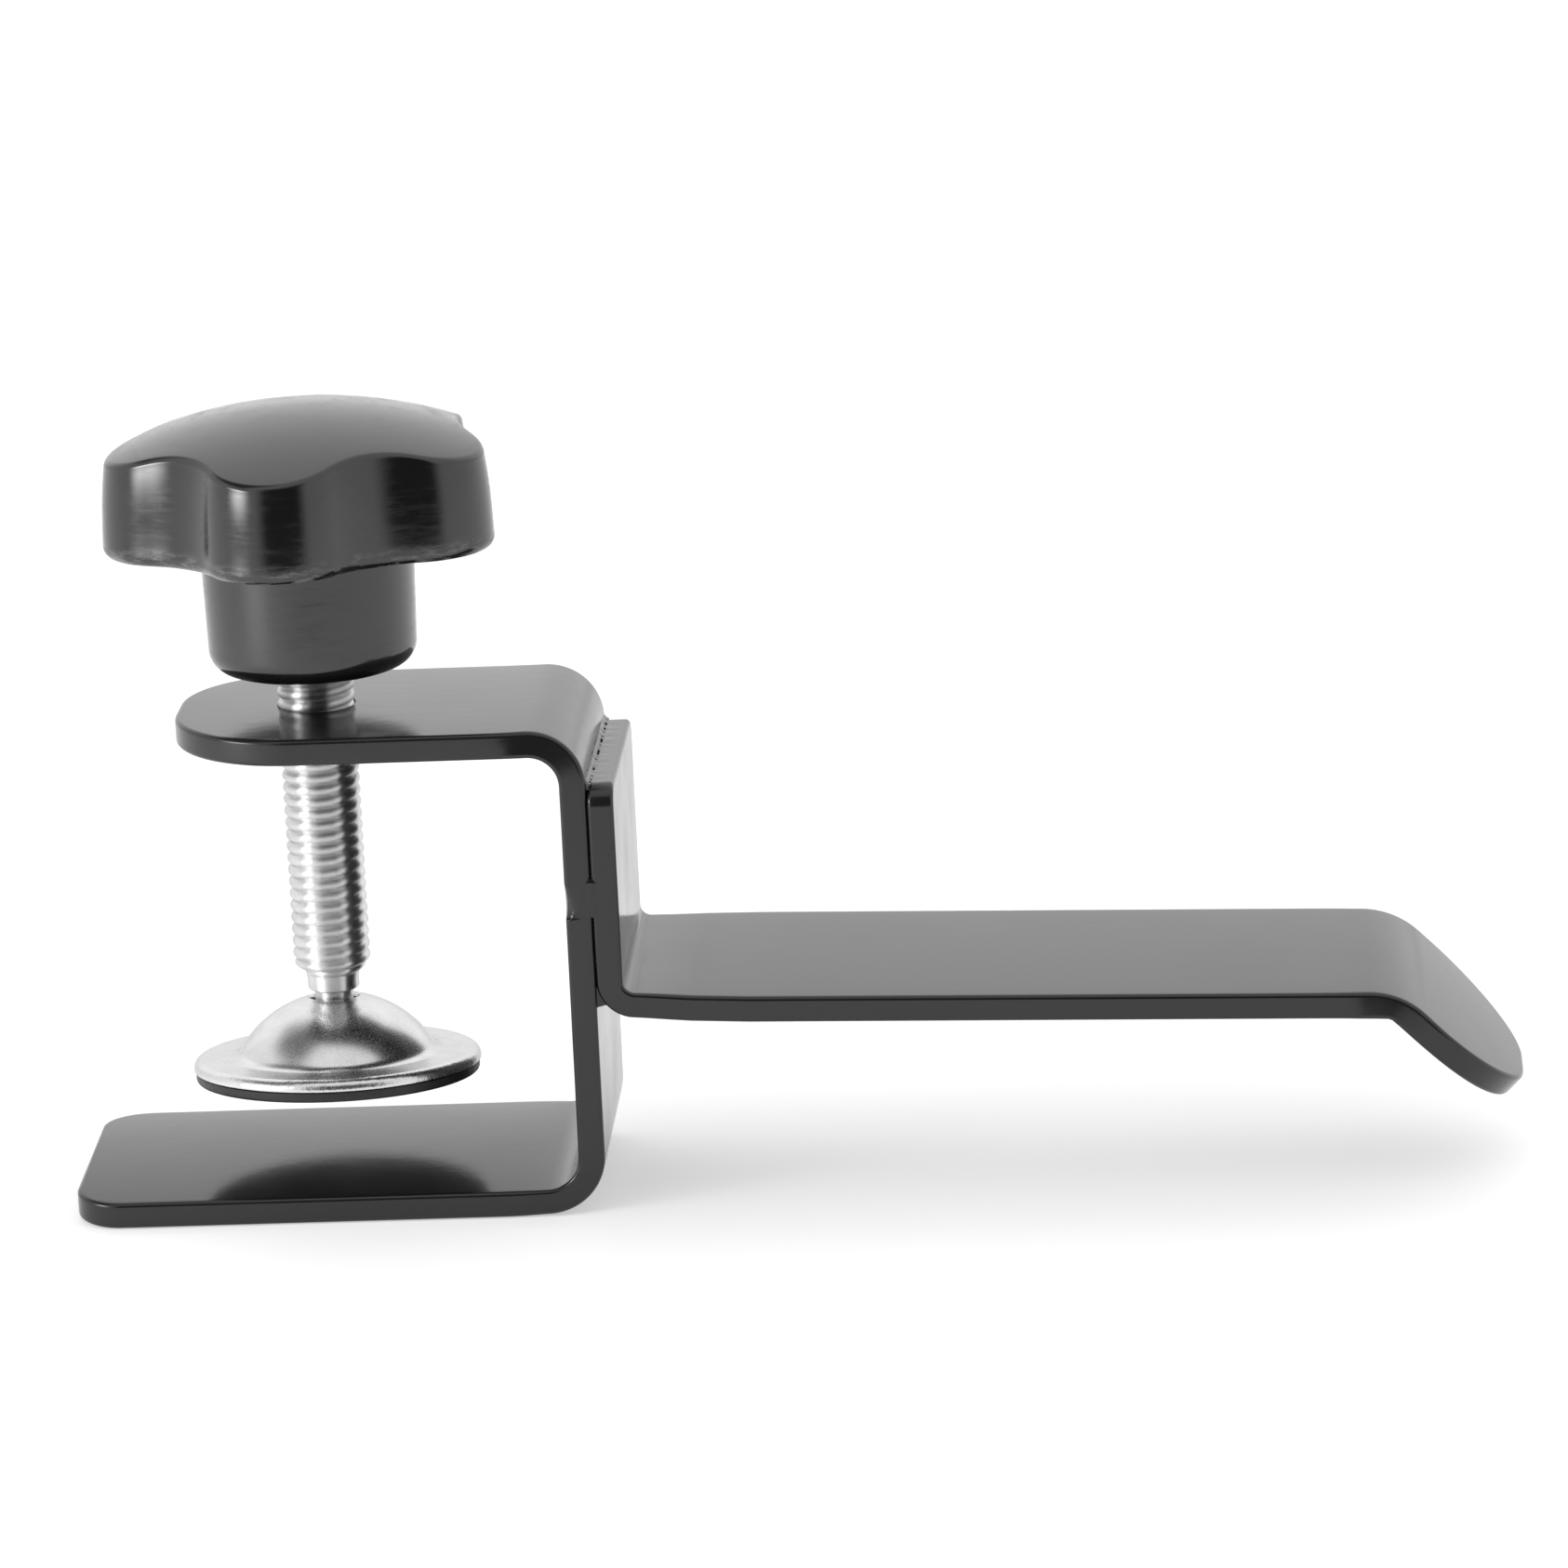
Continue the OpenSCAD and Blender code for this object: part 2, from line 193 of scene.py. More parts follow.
def mouldedKnobFinish():
    finish, tree, shader = newFinish("mouldedKnobBlack")
    look = mouldLook
    cloud = grainNode(tree, look["cloud"], 4)
    drag = grainNode(tree, look["drag"], 5, 0.75, look["dragStretch"])  # drag marks from the mould
    chips = grainNode(tree, look["chips"], 5, 0.65, look["chipStretch"])
    height = splitAxes(tree, pieceCoords(tree))["Z"]
    low, high = look["lowRim"], look["lowRim"] + look["rimHeight"]
    belowTop = remapNode(tree, height, low, high, 1, 0, True)
    aboveHub = remapNode(tree, height, low - look["rimFade"], low, 0, 1)
    nearRim = mathNode(tree, "MULTIPLY", belowTop, aboveHub)
    marks = remapNode(tree, chips, *look["chipShare"], 0, 1, True)
    scuff = mathNode(tree, "MULTIPLY", nearRim, marks)  # worn along the lower rim
    colour = mixColour(tree, scuff, look["dark"], look["scuffed"])
    dullness = remapNode(tree, drag, 0.4, 0.75, *look["rough"], True)
    chipDull = mathNode(tree, "MULTIPLY", scuff, look["chipDull"])
    tree.links.new(colour, shader.inputs["Base Color"])
    tree.links.new(mathNode(tree, "ADD", dullness, chipDull), shader.inputs["Roughness"])
    shader.inputs["IOR"].default_value = look["ior"]
    tree.links.new(bumpChain(tree, [
        (cloud, look["cloudStrength"], look["cloudDepth"]),
        (drag, look["dragStrength"], look["dragDepth"]),
        (scuff, look["chipStrength"], look["chipDepth"]),
    ]), shader.inputs["Normal"])
    return finish


zincLook = {
    "cloud": 420, "cloudStrength": 0.04, "cloudDepth": 0.0001,
    "speck": 6500, "speckDepth": 0.00003,
}
threadZincLook = {
    **zincLook, "dark": (0.66, 0.66, 0.66), "light": (0.913, 0.913, 0.913), "slantTint": 0.7,
    "rough": (0.34, 0.44), "speckStrength": 0.05, "rolled": 0.95,
    "lines": 5200, "lineStretch": (0.06, 0.06, 1), "lineStrength": 0.4, "lineDepth": 0.00003,
}
cupZincLook = {
    **zincLook, "dark": (0.6, 0.6, 0.6), "light": (0.83, 0.83, 0.83), "slantTint": 0.78,
    "rough": (0.2, 0.32), "speckStrength": 0.12,
    "fleck": 1500, "fleckStrength": 0.5, "fleckDepth": 0.00008,
    "fleckFrom": 0.0139, "fleckRise": 0.0005,
}


def zincPlateFinish(name, look):
    finish, tree, shader = newFinish(name)
    cloud = grainNode(tree, look["cloud"], 5, 0.6)
    speck = grainNode(tree, look["speck"], 2, 0.6)
    colour = mixColour(tree, cloud, look["dark"], look["light"])
    dullness = remapNode(tree, speck, 0.3, 0.7, *look["rough"])
    tree.links.new(colour, shader.inputs["Base Color"])
    tree.links.new(dullness, shader.inputs["Roughness"])
    shader.inputs["Metallic"].default_value = 1.0
    shader.inputs["Specular Tint"].default_value = (*[look["slantTint"]] * 3, 1)
    layers = [
        (speck, look["speckStrength"], look["speckDepth"]),
        (cloud, look["cloudStrength"], look["cloudDepth"]),
    ]
    if "rolled" in look:  # fine lines round the axis, left by the rolling dies
        around = tree.nodes.new("ShaderNodeTangent")
        around.direction_type, around.axis = "RADIAL", "Z"
        tree.links.new(around.outputs["Tangent"], shader.inputs["Tangent"])
        shader.inputs["Anisotropic"].default_value = look["rolled"]
        shader.inputs["Anisotropic Rotation"].default_value = 0.25  # a quarter turn
        lines = grainNode(tree, look["lines"], 2, 0.6, look["lineStretch"])
        layers.append((lines, look["lineStrength"], look["lineDepth"]))
    if "fleck" in look:  # tool chatter round the rolled rim
        fleck = grainNode(tree, look["fleck"], 2, 0.6)
        place = splitAxes(tree, pieceCoords(tree))
        squares = [mathNode(tree, "POWER", place[axis], 2) for axis in ("X", "Y")]
        out = mathNode(tree, "SQRT", mathNode(tree, "ADD", *squares))
        low, high = look["fleckFrom"], look["fleckFrom"] + look["fleckRise"]
        onRim = remapNode(tree, out, low, high, 0, 1, True)
        fleck = mathNode(tree, "MULTIPLY", fleck, onRim)
        layers.append((fleck, look["fleckStrength"], look["fleckDepth"]))
    tree.links.new(bumpChain(tree, layers), shader.inputs["Normal"])
    return finish


rubberLook = {
    "clean": (0.018, 0.018, 0.018), "dusty": (0.035, 0.035, 0.035), "rough": (0.38, 0.55),
    "dust": 300, "dustShare": (0.5, 0.8),
    "grain": 1800, "grainStrength": 0.15, "grainDepth": 0.00006,
}


def padRubberFinish():
    finish, tree, shader = newFinish("padRubber")
    look = rubberLook
    grain = grainNode(tree, look["grain"], 4, 0.6)
    dust = remapNode(tree, grainNode(tree, look["dust"], 4, 0.7), *look["dustShare"], 0, 1, True)
    colour = mixColour(tree, dust, look["clean"], look["dusty"])
    dullness = remapNode(tree, grain, 0.3, 0.7, *look["rough"])
    bump = bumpChain(tree, [(grain, look["grainStrength"], look["grainDepth"])])
    tree.links.new(colour, shader.inputs["Base Color"])
    tree.links.new(dullness, shader.inputs["Roughness"])
    tree.links.new(bump, shader.inputs["Normal"])
    return finish


blackCoat = blackCoatFinish("blackPowderCoat", coatLook)
beadCoat = blackCoatFinish("blackCoatOverWeld", beadCoatLook)
topBeadCoat = blackCoatFinish("blackCoatTopBead", topBeadCoatLook)
hookCoat = blackCoatFinish("blackCoatHook", hookCoatLook)
knobPlastic = mouldedKnobFinish()
threadZinc = zincPlateFinish("zincPlateThread", threadZincLook)
cupZinc = zincPlateFinish("zincPlateCup", cupZincLook)
padRubber = padRubberFinish()
print("finishes ready")


def addPiece(name, points, faces, body, node, finish, slotName, sharpAngle, evenShading=False):
    mesh = bpy.data.meshes.new(name)
    mesh.from_pydata([(x * mm, y * mm, z * mm) for x, y, z in points], [], faces)
    work = bmesh.new()
    work.from_mesh(mesh)
    bmesh.ops.recalc_face_normals(work, faces=work.faces)
    work.to_mesh(mesh)
    work.free()
    mesh.shade_smooth()
    mesh.set_sharp_from_angle(angle=math.radians(sharpAngle))
    mesh.materials.append(finish)
    piece = bpy.data.objects.new(name, mesh)
    bpy.context.scene.collection.objects.link(piece)
    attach(piece, body)
    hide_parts(node)
    if evenShading:  # keeps the broad faces flat beside their rolled edges
        even = piece.modifiers.new("evenShading", "WEIGHTED_NORMAL")
        even.keep_sharp = True
    return piece


def ringFaces(rings, count, closed=True):
    # quads between rings of equal count, stored one after another
    faces = []
    for k in range(rings - 1):
        for j in range(count if closed else count - 1):
            a, b = k * count + j, k * count + (j + 1) % count
            faces.append((a, b, b + count, a + count))
    return faces


def rodFaces(rings, count):
    # rings joined, with a cap at either end
    caps = [tuple(range(count)), tuple(range((rings - 1) * count, rings * count))]
    return ringFaces(rings, count) + caps


def latheMesh(profile, steps):
    # profile of (radius, height) pairs, from the axis or round to itself
    points = []
    for radius, height in profile:
        for j in range(steps):
            angle = 2 * math.pi * j / steps
            points.append((radius * math.cos(angle), radius * math.sin(angle), height))
    return points, ringFaces(len(profile), steps)


def closeLathe(faces, count, steps):
    # joins the last ring of a hollow profile to its first
    last = (count - 1) * steps
    for j in range(steps):
        faces.append((last + j, last + (j + 1) % steps, (j + 1) % steps, j))


def arcPoints(cx, cz, radius, start, end, steps):
    angles = [math.radians(start + (end - start) * i / steps) for i in range(steps + 1)]
    return [(cx + radius * math.cos(a), cz + radius * math.sin(a)) for a in angles]


def fadeStep(value, low, high):
    f = min(max((value - low) / (high - low), 0), 1)
    return f * f * (3 - 2 * f)


def lumpiness(y, lumps):
    return sum(noise.noise((y * often, *seed)) * size for often, seed, size in lumps)


def bentPath(corners, radii, thickness):
    # stretches of the bar's middle line, each with its start length, its length, its start point,
    # its heading and its turn radius (left is positive, 0 is straight)
    heads = [math.atan2(b[1] - a[1], b[0] - a[0]) for a, b in zip(corners, corners[1:])]
    turns = [(b - a + math.pi) % (2 * math.pi) - math.pi for a, b in zip(heads, heads[1:])]
    back = [0, 0]  # how far each bend starts before its corner
    back[1:1] = [(r if turn > 0 else r + thickness) * math.tan(abs(turn) / 2)
                 for r, turn in zip(radii, turns)]
    x = corners[0][0] + math.sin(heads[0]) * thickness / 2
    z = corners[0][1] - math.cos(heads[0]) * thickness / 2
    stretches, along = [], 0
    for i, head in enumerate(heads):
        length = math.dist(corners[i], corners[i + 1]) - back[i] - back[i + 1]
        stretches.append((along, length, x, z, head, 0))
        x, z, along = x + math.cos(head) * length, z + math.sin(head) * length, along + length
        if i < len(turns):
            radius = math.copysign(radii[i] + thickness / 2, turns[i])
            length = radius * turns[i]
            stretches.append((along, length, x, z, head, radius))
            x += radius * (math.sin(head + turns[i]) - math.sin(head))
            z += radius * (math.cos(head) - math.cos(head + turns[i]))
            along += length
    return stretches, along


def onPath(stretches, along, side):
    for start, length, x, z, head, radius in stretches:
        if along <= start + length:
            break
    step = along - start
    angle = head
    if radius:
        angle = head + step / radius
        x += radius * (math.sin(angle) - math.sin(head))
        z += radius * (math.cos(head) - math.cos(angle))
    else:
        x, z = x + math.cos(head) * step, z + math.sin(head) * step
    return x - math.sin(angle) * side, z + math.cos(angle) * side


stripLook = {
    "width": 30, "thickness": 2.7, "edge": 0.45, "edgeFall": 0.03, "fallPower": 8,
    "bulge": 0.12, "bulgeReach": 2.2,
    "bendStep": 4, "straightStep": 6, "besideBends": (0.5, 1, 1.6, 2.4, 3.4, 4.8),
    "cornerSteps": 20, "edgeSteps": 6, "lanes": 16,
}


def bendShare(stretches, along):
    # how far a point is inside a bend, with the sign of its hollow side
    share = 0
    for start, span, *_, radius in stretches:
        if radius:
            away = max(start - along, along - start - span, 0)
            share += math.copysign(math.exp(-(away / stripLook["bulgeReach"]) ** 2), radius)
    return share


def pressedIn(bar, stretches, along, face):
    # how far the hollow side of a bend is pressed past its arc, towards the corner
    bends = [stretch for stretch in stretches if stretch[-1]]
    for (start, span, *_, radius), inner, pinch in zip(bends, bar["bends"], bar["pinch"]):
        if start < along < start + span:
            half = span / abs(radius) / 2
            away = abs((along - start) / abs(radius) - half)
            press = -math.copysign(pinch * inner * (1 / math.cos(half - away) - 1), radius)
            return press if press * face < 0 else 0
    return 0


def barStations(bar, stretches):
    # lengths at which the bar has a row of points
    stations = []
    for start, span, *_, radius in stretches:
        if radius:
            steps = math.ceil(math.degrees(abs(span / radius)) / bar["bendStep"])
            for away in bar["besideBends"]:
                stations += [start - away, start + span + away]
        else:
            steps = math.ceil(span / bar["straightStep"])
        steps = max(2, steps)
        stations += [start + span * i / steps for i in range(steps + 1)]
    for low, high, step in bar["fine"]:
        stations += [low + step * i for i in range(int((high - low) / step) + 1)]
    return stations


def bentBar(bar):
    # a flat blank with rounded corners and rolled edges, carried along the bent path
    half, edge, fall = bar["width"] / 2, bar["edge"], bar["edgeFall"]
    thick = bar["thickness"] - fall
    stretches, length = bentPath(bar["corners"], bar["bends"], bar["thickness"])
    startR, endR = bar["cornerRadii"]
    low, high = startR + 0.05, length - endR - 0.05  # clear of the rounded corners
    stations = sorted(set(round(s, 4) for s in barStations(bar, stretches) if low < s < high))

    def roundCorner(centre, radius, startAngle):
        corner = []
        for i in range(bar["cornerSteps"] + 1):
            a = startAngle - math.pi / 2 * i / bar["cornerSteps"]
            out, aside = math.cos(a), math.sin(a)
            corner.append((centre + radius * out, half - radius + radius * aside, out, aside))
        return corner

    def swelling(across):  # full thickness in the middle
        return 1 - abs(across / half) ** bar["fallPower"]

    def placed(along, across, side, face):
        press = pressedIn(bar, stretches, along, face)
        x, z = onPath(stretches, along, side + press + bar["dish"](along, across / half))
        return x, across, z

    outline = roundCorner(startR, startR, math.pi)  # length, half width, outward normal
    outline += [(s, half, 0, 1) for s in stations]
    outline += roundCorner(length - endR, endR, math.pi / 2)
    loop = outline + [(s, -y, ns, -ny) for s, y, ns, ny in reversed(outline)]
    points = []
    quarter = [90 * i / bar["edgeSteps"] for i in range(bar["edgeSteps"] + 1)]
    angles = [(-90 + a, -1) for a in quarter] + [(a, 1) for a in quarter]
    for angle, face in angles:
        for s, y, ns, ny in loop:
            dent, reach = bar["scar"](s, face) if y < 0 else (0, 0)
            inset = (edge + dent * reach) * (1 - math.cos(math.radians(angle)))
            side = face * (thick / 2 - edge - dent) + (edge + dent) * math.sin(math.radians(angle))
            # bending spreads the hollow side and draws in the other
            lean = bar["bulge"] * side * bendShare(stretches, s)
            along = min(max(s - inset * ns, 0), length)
            across = y - (inset - lean) * ny
            points.append(placed(along, across, side + face * fall * swelling(across), face))
    count = len(loop)
    faces = ringFaces(len(angles), count)
    lanes = bar["lanes"]  # the broad faces, in lanes from one edge to the other
    for base, face in ((0, -1), ((len(angles) - 1) * count, 1)):
        rows = []
        for j, (s, y, ns, ny) in enumerate(outline):
            left, right = points[base + j], points[base + count - 1 - j]
            along = min(max(s - edge * ns, 0), length)
            row = [base + j]
            for k in range(1, lanes):
                across = left[1] + (right[1] - left[1]) * (1 - math.cos(math.pi * k / lanes)) / 2
                row.append(len(points))
                side = face * (thick / 2 + fall * swelling(across))
                points.append(placed(along, across, side, face))
            rows.append(row + [base + count - 1 - j])
        for near, far in zip(rows, rows[1:]):
            faces += [(near[k], near[k + 1], far[k + 1], far[k]) for k in range(lanes)]
    return points, faces


poolLook = {"z": 31.8, "depth": 0.08, "size": 0.5}  # where the side tack ran out at its top


def poolDepth(z):
    return poolLook["depth"] * math.exp(-((z - poolLook["z"]) / poolLook["size"]) ** 2)


clampLook = {
    "corners": [(-26.4, 0), (25.5, 0), (25.5, 45), (-14.2, 45)],  # inner face, from the lower jaw
    "bends": [3.2, 3.2], "pinch": [0, 0],
    "cornerRadii": (5.0, 12.9),
    "boreRadius": 4.0, "boreSpan": (44, 49),
    "dentHeights": (28.1, 31.7), "dentDepth": 1.2,  # scar on the spine's inner front edge
    "dentFull": 1.7, "dentRise": 0.9, "dentDrop": 0.5, "dentReach": 1.7,
    # a clamped and welded strip is never quite flat
    "lowJawLift": 0.6, "lowJawTilt": 0.36, "lowJawBow": 0.6, "lowJawEnd": (44, 56),
    "topJawBow": 0.16, "topJawStart": (96, 106),
}
clampPath = bentPath(clampLook["corners"], clampLook["bends"], stripLook["thickness"])[0]


def clampDish(along, across):
    look = clampLook
    lower = 1 - fadeStep(along, *look["lowJawEnd"])
    upper = fadeStep(along, *look["topJawStart"])
    low = look["lowJawLift"] + look["lowJawTilt"] * across - look["lowJawBow"] * across ** 2
    return lower * low + upper * look["topJawBow"] * across ** 2


def spineScar(along, face):
    # a scraped hollow on the inner edge, and the top of the weld pool on the outer edge:
    # depth, reach behind the edge
    look = clampLook
    if not clampPath[2][0] < along < clampPath[3][0]:
        return 0, 0
    z = onPath(clampPath, along, 0)[1]
    if face < 0:
        return poolDepth(z), 1.0
    low, high = look["dentHeights"]
    f = (high - z) / (high - low)
    if not 0 < f < 1:
        return 0, look["dentReach"]
    shape = f ** look["dentRise"] * (1 - f) ** look["dentDrop"]
    return look["dentDepth"] * look["dentFull"] * shape, look["dentReach"]


def boreThrough(piece, radius, low, high):
    work = bmesh.new()
    bmesh.ops.create_cone(work, cap_ends=True, segments=96, radius1=radius * mm,
                          radius2=radius * mm, depth=(high - low) * mm,
                          matrix=Matrix.Translation((0, 0, (low + high) / 2 * mm)))
    drill = bpy.data.objects.new("drill", bpy.data.meshes.new("drill"))
    work.to_mesh(drill.data)
    work.free()
    bpy.context.scene.collection.objects.link(drill)
    cut = piece.modifiers.new("bore", "BOOLEAN")
    cut.operation, cut.solver, cut.object = "DIFFERENCE", "EXACT", drill
    depsgraph = bpy.context.evaluated_depsgraph_get()
    cutMesh = bpy.data.meshes.new_from_object(piece.evaluated_get(depsgraph))
    piece.modifiers.remove(cut)
    piece.data = cutMesh
    piece.data.set_sharp_from_angle(angle=math.radians(40))
    bpy.data.objects.remove(drill)


spineStart, spineStartZ = clampPath[2][0], clampPath[2][3]
dentAlong = [spineStart + height - spineStartZ for height in clampLook["dentHeights"]]
clampShape = {
    **stripLook, **clampLook, "scar": spineScar, "dish": clampDish,
    "fine": [(dentAlong[0] - 0.3, dentAlong[1] + 1.2, 0.08)],  # close rows round the scar
}
clampBar = addPiece("clampBar", *bentBar(clampShape), "bracket", "clamp_bracket",
                    blackCoat, "black_coat", 40, True)
boreThrough(clampBar, clampLook["boreRadius"], *clampLook["boreSpan"])

hookLook = {
    "legFace": 30.9, "legTop": 41.8, "armHeight": 20.3, "armLength": 74.9, "armFall": 1.5,
    "tipAngle": 43.5, "tipLength": 14.3,
    "bends": [1.2, 6.0], "pinch": [0, 0.8],
    "cornerRadii": (2.2, 12.8),
    "armBow": 0.12, "armTilt": 0.4, "armStart": (22, 34),  # the weld drew the front edge down
    "fine": [(9, 12.2, 0.12)],  # close rows beside the side tack
}


def hookCorners():
    look = hookLook
    fall, dip = math.radians(look["armFall"]), math.radians(look["armFall"] + look["tipAngle"])
    outer = look["bends"][1] + stripLook["thickness"]
    tipSet = outer * math.tan(math.radians(look["tipAngle"] / 2))
    arm, tip = look["armLength"] + tipSet, tipSet + look["tipLength"]
    elbow = (look["legFace"], look["armHeight"])
    tipCorner = (elbow[0] + arm * math.cos(fall), elbow[1] - arm * math.sin(fall))
    tipEnd = (tipCorner[0] + tip * math.cos(dip), tipCorner[1] - tip * math.sin(dip))
    return [(look["legFace"], look["legTop"]), elbow, tipCorner, tipEnd]


def hookDish(along, across):
    bow = hookLook["armTilt"] * across - hookLook["armBow"] * across ** 2
    return bow * fadeStep(along, *hookLook["armStart"])


def legScar(along, face):
    return (poolDepth(hookLook["legTop"] - along), 1.0) if face < 0 else (0, 0)


hookShape = {
    **stripLook, **hookLook, "corners": hookCorners(), "scar": legScar, "dish": hookDish,
}
addPiece("hookBar", *bentBar(hookShape), "bracket", "hook_arm", hookCoat, "black_coat", 40, True)
print("flat bars bent")


topBeadLook = {
    "seamX": 28.2, "legTop": 41.8, "reach": 14.4, "width": 0.55, "height": 0.6, "belly": 0.12,
    "lumps": [(0.55, (3.1, 0), 0.2), (1.9, (7.7, 0), 0.1)], "runOut": 0.8, "endSize": 0.25,
    "pitGap": 1.05, "pitStray": 0.35, "pitDepth": 0.06, "pitPull": 0.3, "pitSize": 0.22,
    "pitAt": 0.8, "pitSpan": 0.16, "sunk": 0.03, "rootHalf": 0.3, "rootDepth": (0.5, 0.3),
    "steps": 260, "rise": 12,
}


def topBeadMesh():
    look = topBeadLook
    seam, legTop, reach = look["seamX"], look["legTop"], look["reach"]
    steps, rise = look["steps"], look["rise"]
    pits = [look["pitGap"] * k + noise.noise((k * 1.37, 0.2, 5)) * look["pitStray"]
            for k in range(-15, 16)]
    points = []
    for i in range(steps + 1):
        y = -reach + 2 * reach * i / steps
        taper = min(1, (reach - abs(y)) / look["runOut"] + look["endSize"])
        size = taper * (1 + lumpiness(y, look["lumps"]))
        near = min(abs(y - pit) for pit in pits)
        pit = look["pitDepth"] * math.exp(-(near / look["pitSize"]) ** 2)
        for k in range(rise + 1):
            a = math.pi / 2 * k / rise
            hole = pit * math.exp(-((k / rise - look["pitAt"]) / look["pitSpan"]) ** 2)
            x = seam + look["width"] * size * (1 - math.cos(a)) - look["sunk"]
            z = legTop + look["height"] * size * (1 - math.sin(a)) + look["belly"] * math.sin(2 * a)
            points.append((x - look["pitPull"] * hole, y, z - hole))
        points.append((seam + look["rootHalf"], y, legTop - look["rootDepth"][0]))
        points.append((seam - look["rootHalf"], y, legTop - look["rootDepth"][1]))
    return points, rodFaces(steps + 1, rise + 3)


bottomBeadLook = {
    "elbowCentre": (32.1, 21.47), "elbowRadius": 3.9, "elbowEnd": 19.0, "sunk": 0.05,
    "spineX": 27.95, "spineEnd": 18.7, "reach": 14.3, "sag": 0.16, "sagLumps": 0.6,
    "lumps": [(0.5, (1.3, 9), 0.6), (1.7, (4.4, 2), 0.35)], "elbowLumps": 0.6,
    "root": (28.4, 21.4), "elbowRoot": 0.6, "spineRoot": 1.2,
    "steps": 200, "across": 8,
}


def bottomBeadMesh():
    look = bottomBeadLook
    steps, across, spineX = look["steps"], look["across"], look["spineX"]
    cx, cz = look["elbowCentre"]
    radius = look["elbowRadius"] - look["sunk"]
    points = []
    for i in range(steps + 1):
        y = -look["reach"] + 2 * look["reach"] * i / steps
        lumps = lumpiness(y, look["lumps"])
        spineZ = look["spineEnd"] + lumps
        drop = cz - look["elbowEnd"] - look["elbowLumps"] * lumps
        arc = math.asin(drop / look["elbowRadius"])
        endX, endZ = cx - radius * math.cos(arc), cz - radius * math.sin(arc)
        for k in range(across + 1):
            f = k / across
            uneven = 1 + look["sagLumps"] * noise.noise((y * 2.2, k * 0.4, 6))
            sag = look["sag"] * math.sin(math.pi * f) * uneven
            points.append((spineX + (endX - spineX) * f, y, spineZ + (endZ - spineZ) * f + sag))
        points.append((endX, y, endZ + look["elbowRoot"]))
        points.append((look["root"][0], y, look["root"][1]))
        points.append((spineX, y, spineZ + look["spineRoot"]))
    return points, rodFaces(steps + 1, across + 4)


tackLook = {
    "x": 28.2, "low": 28.0, "high": 32.3, "halfWidth": 0.95, "edgeY": 15, "proud": 0.03,
    "hollow": 0.1, "hollowFrom": 31.8, "foot": 0.5, "footSpan": (-0.1, 0.35),
    "sides": 0.2, "sideSink": 0.3, "lumps": 0.025, "root": 1.2,
    "rows": 40, "spans": 16,
}


def sideTackMesh():
    # a plug of weld in the seam, nearly flush, with a hollow at its top end
    look = tackLook
    rows, spans = look["rows"], look["spans"]
    columns = spans + 1
    footLow, footHigh = [look["low"] + away for away in look["footSpan"]]
    rim = list(range(columns)) + [i * columns + spans for i in range(1, rows + 1)]
    rim += [rows * columns + k for k in range(spans - 1, -1, -1)]
    rim += [i * columns for i in range(rows - 1, 0, -1)]
    points, faces = [], []
    for face in (-1, 1):
        base = len(points)
        for i in range(rows + 1):
            z = look["low"] + (look["high"] - look["low"]) * i / rows
            sink = look["hollow"] * fadeStep(z, look["hollowFrom"], look["high"])
            sink += look["foot"] * (1 - fadeStep(z, footLow, footHigh))
            for k in range(columns):
                f = 2 * k / spans - 1
                x = look["x"] + look["halfWidth"] * f
                proud = look["proud"] - look["sides"] * abs(f) ** 3
                proud -= sink * (1 + look["sideSink"] * abs(f))
                proud += look["lumps"] * noise.noise((x * 2.1, face * 3, z * 1.7))
                points.append((x, face * (look["edgeY"] + proud), z))
        faces += [tuple(base + v for v in f) for f in ringFaces(rows + 1, columns, False)]
        back = len(points)
        points.append((look["x"], face * (look["edgeY"] - look["root"]),
                       (look["low"] + look["high"]) / 2))
        faces += [(base + v, back, base + w) for v, w in zip(rim, rim[1:] + rim[:1])]
    return points, faces


addPiece("topBead", *topBeadMesh(), "bracket", "top_weld", topBeadCoat, "black_coat", 60)
addPiece("bottomBead", *bottomBeadMesh(), "bracket", "bottom_weld", beadCoat, "black_coat", 60)
addPiece("sideTacks", *sideTackMesh(), "bracket", "side_tacks", blackCoat, "black_coat", 60)
print("welds laid")


screwLook = {
    "crest": 3.95, "root": 3.53, "pitch": 1.25, "low": 17.9, "turns": 35, "spokes": 72,
    "formSteps": 16, "formPower": 2.3,  # a rolled thread with round crests
    "threadEnd": 20.508, "taperEnd": 18.708, "runOut": 2.2, "runOutShift": 0.5, "inside": 0.4,
    "collarEnd": 17.708, "collar": 2.65, "collarRound": 0.25, "collarFlare": (0.12, 0.9),
    "collarTop": 1.1, "neck": 2.0,
    "washer": 12.796, "peenEnd": 11.596, "peen": 3.3, "peenRound": 0.6,
}


